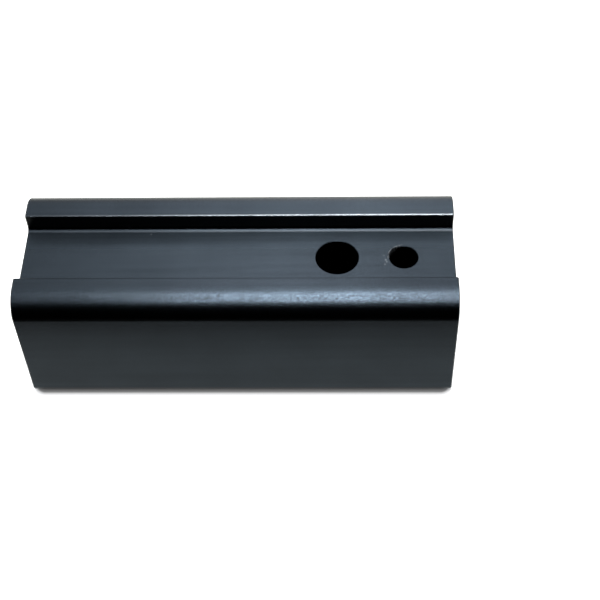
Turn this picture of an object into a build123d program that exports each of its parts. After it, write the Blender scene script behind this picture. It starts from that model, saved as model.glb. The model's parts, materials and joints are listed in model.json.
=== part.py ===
# Machined mounting block: one length of black anodised aluminium bar, with a channel milled
# along the whole of its top and two bolt holes drilled down through the channel's floor near
# one end. A rail or tube seats in the channel and is bolted down through the block.
#
# It is one piece, so there is one solid. Millimetres, +X along the bar towards the drilled end,
# +Y across it, +Z up. The origin is the middle of the underside.

import math
import os

from build123d import *

# The bar
length = 152.0
front_rib_width = 12.3  # the bar's metal in front of the channel
rear_rib_width = 13.7  # the bar's metal behind the channel
floor_thickness = 43.8  # the bar's metal under the channel
crown_radius = 8.5  # on the two long top edges
foot_radius = 3.0  # on the two long bottom edges
end_break = 0.3  # small chamfer all round both faced ends

# The channel along the top
channel_width = 28.0
channel_depth = 7.2
root_radius = 1.5  # where the channel's walls meet its floor
lip_radius = 0.3  # where the channel's walls meet the tops of the ribs

# The two holes, drilled on the bar's own centre line and placed from the bar's drilled end
large_hole_diameter = 15.0
large_hole_from_end = 41.2
small_hole_diameter = 10.0
small_hole_from_end = 17.9
mouth_break = 0.2  # small chamfer at both mouths of each hole

# The bruise that a screw's tip has left on the rim of the small hole, in the channel's floor
bruise_ball_radius = 3.9
bruise_off_axis = 1.7  # from the hole's axis to the middle of the ball
bruise_above_floor = 1.0  # from the channel's floor up to the middle of the ball
bruise_bearing = 141.0  # degrees round the hole, from +X towards +Y

width = front_rib_width + channel_width + rear_rib_width
height = floor_thickness + channel_depth
channel_y = (front_rib_width - rear_rib_width) / 2  # the channel's centre line
drilled_end = length / 2
large_hole_x = drilled_end - large_hole_from_end
small_hole_x = drilled_end - small_hole_from_end
bruise_x = small_hole_x + bruise_off_axis * math.cos(math.radians(bruise_bearing))
bruise_y = bruise_off_axis * math.sin(math.radians(bruise_bearing))
bruise_z = floor_thickness + bruise_above_floor

with BuildPart() as mounting_block:
    # The section across the bar: sketch X is the bar's Y, and sketch Y is the bar's Z
    with BuildSketch(Plane.YZ) as section:
        Rectangle(width, height, align=(Align.CENTER, Align.MIN))
        crown_corners = section.vertices().group_by(Axis.Y)[-1]
        fillet(crown_corners, crown_radius)
        foot_corners = section.vertices().group_by(Axis.Y)[0]
        fillet(foot_corners, foot_radius)
        with Locations((channel_y, height)):
            Rectangle(
                channel_width,
                channel_depth,
                align=(Align.CENTER, Align.MAX),
                mode=Mode.SUBTRACT,
            )
        half_reach = channel_width / 2 + lip_radius
        at_walls = (Axis.X, channel_y - half_reach, channel_y + half_reach)
        root_corners = section.vertices().filter_by_position(*at_walls).group_by(Axis.Y)[0]
        fillet(root_corners, root_radius)
        lip_corners = section.vertices().filter_by_position(*at_walls).group_by(Axis.Y)[-1]
        fillet(lip_corners, lip_radius)
    extrude(amount=length / 2, both=True)

    # Both ends are sawn, faced and lightly chamfered all round the section
    end_faces = mounting_block.faces().filter_by(Axis.X)
    chamfer(end_faces.edges(), end_break)

    # Both holes go straight down from the channel's floor to the underside
    with Locations((large_hole_x, 0, floor_thickness)):
        Hole(large_hole_diameter / 2)
    with Locations((small_hole_x, 0, floor_thickness)):
        Hole(small_hole_diameter / 2)
    mouths = mounting_block.edges().filter_by(GeomType.CIRCLE).filter_by(Plane.XY)
    chamfer(mouths, mouth_break)

    # The bruise on the small hole's rim
    with Locations((bruise_x, bruise_y, bruise_z)):
        Sphere(bruise_ball_radius, mode=Mode.SUBTRACT)

os.makedirs("parts", exist_ok=True)
mounting_block.part.label = "mounting_block"
export_step(mounting_block.part, "parts/mounting_block.step")
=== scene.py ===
import json
import math

import bmesh
import bpy
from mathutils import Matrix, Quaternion, Vector


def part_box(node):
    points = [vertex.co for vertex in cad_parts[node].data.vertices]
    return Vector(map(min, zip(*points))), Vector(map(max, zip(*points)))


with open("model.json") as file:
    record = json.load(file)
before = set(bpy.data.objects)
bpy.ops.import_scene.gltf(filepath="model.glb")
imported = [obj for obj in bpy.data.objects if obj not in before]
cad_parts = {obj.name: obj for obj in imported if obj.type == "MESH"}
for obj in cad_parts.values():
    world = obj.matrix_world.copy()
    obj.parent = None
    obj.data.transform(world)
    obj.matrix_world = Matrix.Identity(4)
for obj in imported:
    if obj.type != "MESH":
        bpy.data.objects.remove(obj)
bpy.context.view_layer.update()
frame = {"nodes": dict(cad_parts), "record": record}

# ---------------------------------------------------------------------------------------------
# The block. It is one length of aluminium bar, milled and drilled, then blasted with fine glass
# bead and black anodised. The blasting leaves a satin skin of tiny dimples, and the dye leaves
# the oxide blue-black, with faint streaks along the bar where it was handled and stacked.

block = frame["nodes"]["mounting_block"]
block_low, block_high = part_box("mounting_block")


def new_material(name):
    material = bpy.data.materials.new(name)
    material.use_nodes = True
    material.node_tree.nodes.clear()
    return material


def add_node(tree, kind, **values):
    node = tree.nodes.new(kind)
    for key, value in values.items():
        if hasattr(node, key):
            setattr(node, key, value)
        else:
            node.inputs[key].default_value = value
    return node


def math_node(tree, operation, first, second):
    node = add_node(tree, "ShaderNodeMath", operation=operation)
    for socket, value in zip(node.inputs, (first, second)):
        if isinstance(value, (int, float)):
            socket.default_value = value
        else:
            tree.links.new(value, socket)
    return node.outputs["Value"]


def map_range(tree, value, low, high, low_result, high_result):
    node = add_node(tree, "ShaderNodeMapRange")
    node.inputs["From Min"].default_value = low
    node.inputs["From Max"].default_value = high
    node.inputs["To Min"].default_value = low_result
    node.inputs["To Max"].default_value = high_result
    tree.links.new(value, node.inputs["Value"])
    return node.outputs["Result"]


def new_group(name, outputs):
    group = bpy.data.node_groups.new(name, "ShaderNodeTree")
    for label, kind in outputs:
        group.interface.new_socket(label, in_out="OUTPUT", socket_type=kind)
    return group, add_node(group, "NodeGroupOutput")


# The blasted skin: dimples about half a millimetre across, as a normal, and brighter and duller
# grains of the same size, as a value near 1. The grains are strongest on the rounded crowns.
crown_radius = 0.0085
end_break = 0.0003
skin, skin_out = new_group(
    "blasted_skin", [("Normal", "NodeSocketVector"), ("Grain", "NodeSocketFloat")]
)
place = add_node(skin, "ShaderNodeTexCoord")
dimples = add_node(skin, "ShaderNodeTexNoise", Scale=1900.0, Detail=2.0, Roughness=0.6)
skin.links.new(place.outputs["Object"], dimples.inputs["Vector"])
relief = add_node(skin, "ShaderNodeBump", Strength=1.0, Distance=0.00005)
skin.links.new(dimples.outputs["Fac"], relief.inputs["Height"])
skin.links.new(relief.outputs["Normal"], skin_out.inputs["Normal"])
grain = add_node(skin, "ShaderNodeTexNoise", Scale=2100.0, Detail=1.0, Roughness=0.6)
skin.links.new(place.outputs["Object"], grain.inputs["Vector"])
axes = add_node(skin, "ShaderNodeSeparateXYZ")
skin.links.new(place.outputs["Object"], axes.inputs["Vector"])
height = axes.outputs["Z"]
above_sides = map_range(skin, height, block_high.z - 0.0060, block_high.z - 0.0045, 0.0, 1.0)
below_top = map_range(skin, height, block_high.z - 0.0002, block_high.z - 0.0008, 0.0, 1.0)
off_ends = math_node(skin, "COMPARE", axes.outputs["X"], 0.0)
off_ends.node.inputs[2].default_value = block_high.x - end_break + 0.0001
crown = math_node(skin, "MULTIPLY", math_node(skin, "MULTIPLY", above_sides, below_top), off_ends)
contrast = math_node(skin, "ADD", math_node(skin, "MULTIPLY", crown, 2.8), 0.4)
lump = math_node(skin, "SUBTRACT", grain.outputs["Fac"], 0.5)
grain_value = math_node(skin, "ADD", math_node(skin, "MULTIPLY", lump, contrast), 1.0)
skin.links.new(grain_value, skin_out.inputs["Grain"])

# Streaks and blotches: long soft stripes along the bar and clouds in the dye, as a value near 1
streaks, streaks_out = new_group("streaks", [("Tone", "NodeSocketFloat")])
place = add_node(streaks, "ShaderNodeTexCoord")
stretch = add_node(streaks, "ShaderNodeMapping")
stretch.inputs["Scale"].default_value = (14.0, 520.0, 520.0)
streaks.links.new(place.outputs["Object"], stretch.inputs["Vector"])
stripes = add_node(streaks, "ShaderNodeTexNoise", Scale=1.0, Detail=3.0, Roughness=0.5)
streaks.links.new(stretch.outputs["Vector"], stripes.inputs["Vector"])
clouds = add_node(streaks, "ShaderNodeTexNoise", Scale=42.0, Detail=4.0, Roughness=0.55)
streaks.links.new(place.outputs["Object"], clouds.inputs["Vector"])
both_tones = math_node(streaks, "ADD", stripes.outputs["Fac"], clouds.outputs["Fac"])
tone = map_range(streaks, both_tones, 0.7, 1.3, 0.86, 1.14)
streaks.links.new(tone, streaks_out.inputs["Tone"])

# Wear, tooling and painted light, as three masks. The first is bare metal: in the bruise on the
# small hole's rim and in nicks; at the lip of the rear wall partly worn metal and partly a painted
# highlight; at its root a painted highlight. The second is how strongly the oxide shines, with
# painted shade and painted light laid on it. The third is the coarser strip of floor beside the
# rear wall.
places = {mount["name"]: Vector(mount["pos_m"]) for mount in frame["record"]["mounts"]}
rear_wall = places["channel_rear_wall"]
front_wall = places["channel_front_wall"]
channel_floor = places["channel_floor"]
small_hole = places["small_bolt_hole"]
small_hole.z = channel_floor.z
wear_and_painted_light, wear_out = new_group(
    "wear_and_painted_light",
    [("BareAndPaintedHighlight", "NodeSocketFloat"), ("PaintedShadeAndLight", "NodeSocketFloat"), ("Rough", "NodeSocketFloat")],
)
place = add_node(wear_and_painted_light, "ShaderNodeTexCoord")
axes = add_node(wear_and_painted_light, "ShaderNodeSeparateXYZ")
wear_and_painted_light.links.new(place.outputs["Object"], axes.inputs["Vector"])
along, across, up = (axes.outputs[name] for name in ("X", "Y", "Z"))


def close_to(value, middle, reach):
    mask = math_node(wear_and_painted_light, "COMPARE", value, middle)
    mask.node.inputs[2].default_value = reach
    return mask


def product(*factors):
    result = factors[0]
    for factor in factors[1:]:
        result = math_node(wear_and_painted_light, "MULTIPLY", result, factor)
    return result


# The lip and the root of the rear wall: painted highlights that grow towards the drilled end, and
# at the lip also worn metal
rub = add_node(wear_and_painted_light, "ShaderNodeTexNoise", Scale=60.0, Detail=3.0)
wear_and_painted_light.links.new(place.outputs["Object"], rub.inputs["Vector"])
rub_and_highlight_ramp = product(
    map_range(wear_and_painted_light, along, -0.070, 0.030, 0.12, 1.0),
    math_node(wear_and_painted_light, "ADD", rub.outputs["Fac"], 0.4),
)
lip_share = 0.22
root_highlight_share = 0.070
lip_wear_and_highlight = product(
    close_to(across, rear_wall.y + 0.00025, 0.00036),
    math_node(wear_and_painted_light, "GREATER_THAN", up, block_high.z - 0.00045),
    rub_and_highlight_ramp,
    lip_share,
)
root_painted_highlight = product(
    map_range(wear_and_painted_light, across, rear_wall.y - 0.0017, rear_wall.y - 0.0013, 0.0, 1.0),
    map_range(wear_and_painted_light, up, channel_floor.z + 0.00035, channel_floor.z + 0.00010, 0.0, 1.0),
    math_node(wear_and_painted_light, "GREATER_THAN", up, channel_floor.z - 0.0001),
    rub_and_highlight_ramp,
    root_highlight_share,
)

# The bruise lies to the rear left of the hole's axis and slopes down into the bore
from_axis = add_node(wear_and_painted_light, "ShaderNodeVectorMath", operation="SUBTRACT")
from_axis.inputs[1].default_value = small_hole
wear_and_painted_light.links.new(place.outputs["Object"], from_axis.inputs[0])
bearing = math.radians(141.0)
bruise_reach = 0.0058
bruise_share = 0.15
slope = add_node(wear_and_painted_light, "ShaderNodeVectorMath", operation="DOT_PRODUCT")
slope.inputs[1].default_value = (math.cos(bearing), math.sin(bearing), 0.75 * math.sin(bearing))
wear_and_painted_light.links.new(from_axis.outputs["Vector"], slope.inputs[0])
ragged = add_node(wear_and_painted_light, "ShaderNodeTexNoise", Scale=1300.0, Detail=4.0, Roughness=0.7)
wear_and_painted_light.links.new(place.outputs["Object"], ragged.inputs["Vector"])
edge_line = math_node(
    wear_and_painted_light, "ADD", slope.outputs["Value"], math_node(wear_and_painted_light, "MULTIPLY", ragged.outputs["Fac"], 0.0014)
)
span = add_node(wear_and_painted_light, "ShaderNodeVectorMath", operation="LENGTH")
wear_and_painted_light.links.new(from_axis.outputs["Vector"], span.inputs[0])
bruised = product(
    map_range(wear_and_painted_light, edge_line, 0.0044, 0.0052, 0.0, 1.0),
    math_node(wear_and_painted_light, "LESS_THAN", span.outputs["Value"], bruise_reach),
)
scratches = map_range(wear_and_painted_light, ragged.outputs["Fac"], 0.42, 0.62, 0.12, 1.0)
scrape = product(bruised, scratches, bruise_share)

# Nicks, in the bruise, in the channel's floor beside the small hole and here and there on the bar:
# the middle of each and its radius
nick_share = 0.09
nicks = (
    ((0.0542, 0.0033, 0.0437), 0.00050),
    ((0.0518, -0.0012, 0.0438), 0.00035),
    ((0.0521, -0.0021, 0.0438), 0.00030),
    ((0.0515, -0.0032, 0.0438), 0.00028),
    ((0.0512, 0.0008, 0.0438), 0.00022),
    ((-0.0315, 0.0110, 0.0438), 0.00034),
    ((-0.0393, 0.0133, 0.0450), 0.00032),
    ((-0.0397, 0.0133, 0.0459), 0.00024),
    ((-0.0612, -0.0269, 0.0437), 0.00034),
    ((0.0294, -0.0270, 0.0406), 0.00022),
    ((0.0088, -0.0270, 0.0307), 0.00020),
)
bare_and_painted_highlight = math_node(wear_and_painted_light, "MAXIMUM", lip_wear_and_highlight, math_node(wear_and_painted_light, "MAXIMUM", root_painted_highlight, scrape))
for spot, radius in nicks:
    reach = add_node(wear_and_painted_light, "ShaderNodeVectorMath", operation="DISTANCE")
    reach.inputs[1].default_value = spot
    wear_and_painted_light.links.new(place.outputs["Object"], reach.inputs[0])
    dab = map_range(wear_and_painted_light, reach.outputs["Value"], radius * 0.5, radius * 1.3, nick_share, 0.0)
    bare_and_painted_highlight = math_node(wear_and_painted_light, "MAXIMUM", bare_and_painted_highlight, dab)
wear_and_painted_light.links.new(bare_and_painted_highlight, wear_out.inputs["BareAndPaintedHighlight"])

# Painted shade: the channel's walls, the bores and the edge of the front wall are darkened
in_channel = product(
    math_node(wear_and_painted_light, "LESS_THAN", up, block_high.z - 0.0004),
    math_node(wear_and_painted_light, "GREATER_THAN", up, channel_floor.z + 0.0006),
    close_to(across, channel_floor.y, rear_wall.y - channel_floor.y + 0.00015),
)
bore_reach_across = 0.0085
bore_reach_along = 0.0700
in_bore = product(
    math_node(wear_and_painted_light, "LESS_THAN", up, channel_floor.z - 0.00035),
    math_node(wear_and_painted_light, "GREATER_THAN", up, 0.0003),
    close_to(across, 0.0, bore_reach_across),
    close_to(along, 0.0, bore_reach_along),
)
front_edge = product(
    close_to(across, front_wall.y - 0.0001, 0.00045),
    math_node(wear_and_painted_light, "GREATER_THAN", up, block_high.z - 0.0004),
)
painted_shade = math_node(
    wear_and_painted_light,
    "MAXIMUM",
    math_node(wear_and_painted_light, "MAXIMUM", in_channel, in_bore),
    product(front_edge, 0.45),
)

# The strip of floor beside the rear wall is coarser, and has painted light that grows towards the
# drilled end
on_floor = close_to(up, channel_floor.z, 0.0004)
by_wall = product(
    map_range(wear_and_painted_light, across, rear_wall.y - 0.0095, rear_wall.y - 0.0025, 0.0, 1.0),
    on_floor,
)
painted_light_by_wall = product(by_wall, map_range(wear_and_painted_light, along, -0.045, 0.030, 0.0, 1.5))

# Painted shade: the front crown is darkened towards both ends, and the floor and the top of the
# front rib towards the drilled end. Painted highlight: the line of the front foot is brightened.
off_end_faces = close_to(along, 0.0, block_high.x - end_break + 0.0001)
crown_ends_painted_shade = product(
    math_node(
        wear_and_painted_light,
        "ADD",
        map_range(wear_and_painted_light, along, 0.040, 0.074, 0.0, 0.20),
        map_range(wear_and_painted_light, along, -0.014, -0.055, 0.0, 0.40),
    ),
    map_range(wear_and_painted_light, up, block_high.z - crown_radius, block_high.z - 0.0060, 0.0, 1.0),
    map_range(wear_and_painted_light, up, block_high.z, block_high.z - 0.0010, 0.15, 1.0),
    math_node(wear_and_painted_light, "LESS_THAN", across, front_wall.y),
    off_end_faces,
)
on_front_rib = product(
    map_range(wear_and_painted_light, up, block_high.z - 0.0004, block_high.z, 0.0, 1.0),
    math_node(wear_and_painted_light, "LESS_THAN", across, 0.0),
)
drilled_end_painted_shade = product(
    map_range(wear_and_painted_light, along, 0.012, 0.055, 0.0, 0.24),
    off_end_faces,
    math_node(wear_and_painted_light, "MAXIMUM", on_floor, on_front_rib),
)
foot_painted_highlight = product(
    map_range(wear_and_painted_light, up, 0.0030, 0.0008, 0.0, 1.6),
    math_node(wear_and_painted_light, "LESS_THAN", across, -0.022),
    off_end_faces,
)
# The painted shade and painted light together scale how strongly the oxide shines
painted_shade_and_light = product(
    math_node(wear_and_painted_light, "SUBTRACT", 1.0, product(painted_shade, 0.93)),
    math_node(wear_and_painted_light, "ADD", math_node(wear_and_painted_light, "ADD", painted_light_by_wall, foot_painted_highlight), 1.0),
    math_node(wear_and_painted_light, "SUBTRACT", 1.0, math_node(wear_and_painted_light, "MAXIMUM", drilled_end_painted_shade, crown_ends_painted_shade)),
)
wear_and_painted_light.links.new(painted_shade_and_light, wear_out.inputs["PaintedShadeAndLight"])
wear_and_painted_light.links.new(math_node(wear_and_painted_light, "MAXIMUM", by_wall, bruised), wear_out.inputs["Rough"])


def black_anodised():
    material = new_material("black_anodised")
    tree = material.node_tree
    link = tree.links.new
    skin_node = add_node(tree, "ShaderNodeGroup", node_tree=skin)
    streaks_node = add_node(tree, "ShaderNodeGroup", node_tree=streaks)
    wear_node = add_node(tree, "ShaderNodeGroup", node_tree=wear_and_painted_light)

    # Metal under a black dye: it has no colour but a weak, cool sheen, with bare metal showing
    # through where the dye is gone
    oxide = add_node(tree, "ShaderNodeVectorMath", operation="SCALE")
    oxide.inputs["Vector"].default_value = (0.0312, 0.0405, 0.0508)
    # The shine is scaled by painted shade and light; the bare share holds painted highlights too
    strength = math_node(tree, "MULTIPLY", streaks_node.outputs["Tone"], wear_node.outputs["PaintedShadeAndLight"])
    link(math_node(tree, "MULTIPLY", strength, skin_node.outputs["Grain"]), oxide.inputs["Scale"])
    colour = add_node(tree, "ShaderNodeMix", data_type="RGBA")
    link(wear_node.outputs["BareAndPaintedHighlight"], colour.inputs["Factor"])
    link(oxide.outputs["Vector"], colour.inputs["A"])
    colour.inputs["B"].default_value = (0.84, 0.89, 0.94, 1.0)
    surface = add_node(tree, "ShaderNodeBsdfPrincipled", Metallic=1.0)
    link(colour.outputs["Result"], surface.inputs["Base Color"])
    coarse = math_node(tree, "MULTIPLY", wear_node.outputs["Rough"], 0.30)
    rough = math_node(tree, "ADD", coarse, 0.25)
    link(rough, surface.inputs["Roughness"])
    link(skin_node.outputs["Normal"], surface.inputs["Normal"])
    output = add_node(tree, "ShaderNodeOutputMaterial")
    link(surface.outputs["BSDF"], output.inputs["Surface"])
    return material


block.material_slots[0].material = black_anodised()

# ---------------------------------------------------------------------------------------------
# The table: a large sheet of matt white card, with a painted shadow that darkens it to almost black
# under the block. In the block's satin sides it shows as a painted reflection that fades out in
# front of the foot, brightest at the block.


def set_stops(node, stops):
    elements = node.color_ramp.elements
    (first, first_colour), *middle, (last, last_colour) = stops
    elements[0].position, elements[0].color = first, (*first_colour, 1.0)
    elements[1].position, elements[1].color = last, (*last_colour, 1.0)
    for position, colour in middle:
        elements.new(position).color = (*colour, 1.0)


# The shade round the foot: colour against the distance out from where the block touches the card
touch_x = block_high.x - 0.004
touch_y = block_high.y - 0.003
shade_reach = 0.012
contact_shade, contact_out = new_group("contact_shade", [("Colour", "NodeSocketColor")])
place = add_node(contact_shade, "ShaderNodeTexCoord")
offset = add_node(contact_shade, "ShaderNodeVectorMath", operation="ABSOLUTE")
contact_shade.links.new(place.outputs["Object"], offset.inputs[0])
clear = add_node(contact_shade, "ShaderNodeVectorMath", operation="SUBTRACT")
clear.inputs[1].default_value = (touch_x, touch_y, 0.0)
contact_shade.links.new(offset.outputs["Vector"], clear.inputs[0])
outside = add_node(contact_shade, "ShaderNodeVectorMath", operation="MAXIMUM")
outside.inputs[1].default_value = (0.0, 0.0, 0.0)
contact_shade.links.new(clear.outputs["Vector"], outside.inputs[0])
away = add_node(contact_shade, "ShaderNodeVectorMath", operation="LENGTH")
contact_shade.links.new(outside.outputs["Vector"], away.inputs[0])
shade = add_node(contact_shade, "ShaderNodeValToRGB")
set_stops(
    shade,
    (
        (0.0, (0.005, 0.005, 0.005)),
        (0.26, (0.16, 0.16, 0.1616)),
        (0.32, (0.50, 0.50, 0.505)),
        (0.40, (0.74, 0.74, 0.7474)),
        (0.58, (0.82, 0.82, 0.8282)),
        (0.999, (0.86, 0.86, 0.86)),
        (1.0, (1.0, 1.0, 1.0)),
    ),
)
away_share = map_range(contact_shade, away.outputs["Value"], 0.0, shade_reach, 0.0, 1.0)
contact_shade.links.new(away_share, shade.inputs["Fac"])
contact_shade.links.new(shade.outputs["Color"], contact_out.inputs["Colour"])


def white_card():
    material = new_material("white_card")
    tree = material.node_tree
    link = tree.links.new
    contact = add_node(tree, "ShaderNodeGroup", node_tree=contact_shade)
    card = add_node(tree, "ShaderNodeBsdfDiffuse")
    link(contact.outputs["Colour"], card.inputs["Color"])
    rays = add_node(tree, "ShaderNodeLightPath")
    lift = add_node(tree, "ShaderNodeEmission")
    link(contact.outputs["Colour"], lift.inputs["Color"])
    link(math_node(tree, "MULTIPLY", rays.outputs["Is Camera Ray"], 0.55), lift.inputs["Strength"])
    seen = add_node(tree, "ShaderNodeAddShader")
    link(card.outputs["BSDF"], seen.inputs[0])
    link(lift.outputs["Emission"], seen.inputs[1])

    # Painted reflection: glossy rays see the card glow, black a few centimetres in front of the
    # foot, brightest from the foot back, and dark where the painted shadow is
    strip_width = 0.050
    place = add_node(tree, "ShaderNodeTexCoord")
    axes = add_node(tree, "ShaderNodeSeparateXYZ")
    link(place.outputs["Object"], axes.inputs["Vector"])
    in_front = map_range(
        tree, axes.outputs["Y"], block_low.y - strip_width, block_low.y, 0.0, 1.0
    )
    fade = add_node(tree, "ShaderNodeValToRGB")
    set_stops(
        fade,
        (
            (0.35, (0.0, 0.0, 0.0)),
            (0.40, (0.50, 0.50, 0.47)),
            (0.46, (0.51, 0.51, 0.4794)),
            (0.58, (0.55, 0.55, 0.517)),
            (0.75, (0.63, 0.63, 0.5922)),
            (0.90, (0.72, 0.72, 0.6768)),
            (1.0, (1.0, 1.0, 0.94)),
        ),
    )
    link(in_front, fade.inputs["Fac"])
    painted_reflection = add_node(tree, "ShaderNodeEmission", Strength=1.21)
    reflected = add_node(tree, "ShaderNodeVectorMath", operation="MULTIPLY")
    link(fade.outputs["Color"], reflected.inputs[0])
    link(contact.outputs["Colour"], reflected.inputs[1])
    link(reflected.outputs["Vector"], painted_reflection.inputs["Color"])
    pick = add_node(tree, "ShaderNodeMixShader")
    link(rays.outputs["Is Glossy Ray"], pick.inputs["Fac"])
    link(seen.outputs["Shader"], pick.inputs[1])
    link(painted_reflection.outputs["Emission"], pick.inputs[2])
    output = add_node(tree, "ShaderNodeOutputMaterial")
    link(pick.outputs["Shader"], output.inputs["Surface"])
    return material


floor_reach = 4.0
mesh = bpy.data.meshes.new("table")
sheet = bmesh.new()
bmesh.ops.create_grid(sheet, x_segments=1, y_segments=1, size=floor_reach)
sheet.to_mesh(mesh)
sheet.free()
mesh.materials.append(white_card())
table = bpy.data.objects.new("table", mesh)
bpy.context.scene.collection.objects.link(table)

# ---------------------------------------------------------------------------------------------
# The light: a soft studio dome, pale above and behind and dark low in front, with one long
# narrow tube overhead that runs from front to back.

world = bpy.data.worlds.new("studio")
world.use_nodes = True
bpy.context.scene.world = world
tree = world.node_tree
tree.nodes.clear()
link = tree.links.new
toward = add_node(tree, "ShaderNodeTexCoord")
axes = add_node(tree, "ShaderNodeSeparateXYZ")
link(toward.outputs["Generated"], axes.inputs["Vector"])
lean = math_node(tree, "ARCTAN2", axes.outputs["Y"], axes.outputs["Z"])
lowest, highest = -60.0, 120.0
turn = map_range(tree, lean, math.radians(lowest), math.radians(highest), 0.0, 1.0)


# Brightness against the angle from straight up, in degrees, with the front negative
def by_angle(values):
    node = add_node(tree, "ShaderNodeValToRGB")
    share = highest - lowest
    set_stops(node, [((angle - lowest) / share, (grey,) * 3) for angle, grey in values])
    link(turn, node.inputs["Fac"])
    return node.outputs["Color"]


dome = by_angle(
    (
        (-60.0, 0.0),
        (-48.0, 0.02),
        (-35.0, 0.26),
        (-25.0, 0.42),
        (-15.0, 0.56),
        (0.0, 0.71),
        (25.0, 0.73),
        (35.0, 0.82),
        (45.0, 1.0),
        (55.0, 0.86),
        (65.0, 0.68),
        (78.0, 0.53),
        (120.0, 0.49),
    )
)
tube = by_angle(
    (
        (-60.0, 0.0),
        (-52.0, 0.04),
        (-46.0, 0.20),
        (-40.0, 0.50),
        (-32.0, 0.88),
        (-20.0, 1.0),
        (-8.0, 1.0),
        (2.0, 0.72),
        (12.0, 0.28),
        (25.0, 0.22),
        (38.0, 0.06),
        (55.0, 0.06),
        (120.0, 0.0),
    )
)
tube_middle = 0.012
tube_half_width = math.sin(math.radians(2.0))
tube_strength = 46.0
off_tube = math_node(
    tree, "ABSOLUTE", math_node(tree, "SUBTRACT", axes.outputs["X"], tube_middle), 0.0
)
in_tube = math_node(tree, "LESS_THAN", off_tube, tube_half_width)
sideways = math_node(tree, "ABSOLUTE", math_node(tree, "ARCSINE", axes.outputs["X"], 0.0), 0.0)
falloff = add_node(tree, "ShaderNodeMapRange", interpolation_type="SMOOTHSTEP")
falloff.inputs["From Max"].default_value = math.radians(22.0)
falloff.inputs["To Min"].default_value = 2.5
falloff.inputs["To Max"].default_value = 0.55
link(sideways, falloff.inputs["Value"])
dome_part = add_node(tree, "ShaderNodeBackground")
link(dome, dome_part.inputs["Color"])
link(falloff.outputs["Result"], dome_part.inputs["Strength"])
tube_part = add_node(tree, "ShaderNodeBackground")
link(tube, tube_part.inputs["Color"])
link(math_node(tree, "MULTIPLY", in_tube, tube_strength), tube_part.inputs["Strength"])
room = add_node(tree, "ShaderNodeAddShader")
link(dome_part.outputs["Background"], room.inputs[0])
link(tube_part.outputs["Background"], room.inputs[1])
pale = add_node(tree, "ShaderNodeBackground", Color=(1.0, 1.0, 1.0, 1.0), Strength=1.0)
rays = add_node(tree, "ShaderNodeLightPath")
pick = add_node(tree, "ShaderNodeMixShader")
link(rays.outputs["Is Camera Ray"], pick.inputs["Fac"])
link(room.outputs["Shader"], pick.inputs[1])
link(pale.outputs["Background"], pick.inputs[2])
output = add_node(tree, "ShaderNodeOutputWorld")
link(pick.outputs["Shader"], output.inputs["Surface"])

# ---------------------------------------------------------------------------------------------
# The camera. It stands about half a metre from the block, above and in front of it, and looks
# down on the channel with a slight roll.

aim = Vector((0.021411, -0.004632, 0.0255))
distance = 0.47930
azimuth = math.radians(-2.665)
elevation = math.radians(52.015)
roll = math.radians(-2.255)
sight = Vector(
    (
        math.sin(azimuth) * math.cos(elevation),
        math.cos(azimuth) * math.cos(elevation),
        -math.sin(elevation),
    )
)
camera = bpy.data.cameras.new("camera")
camera.lens = 80.013
camera.sensor_width = 36.0
camera.clip_start = 0.01
viewer = bpy.data.objects.new("camera", camera)
viewer.location = aim - distance * sight
viewer.rotation_mode = "QUATERNION"
viewer.rotation_quaternion = sight.to_track_quat("-Z", "Y") @ Quaternion((0.0, 0.0, 1.0), roll)
bpy.context.scene.collection.objects.link(viewer)
bpy.context.scene.camera = viewer
bpy.context.scene.view_settings.view_transform = "Standard"
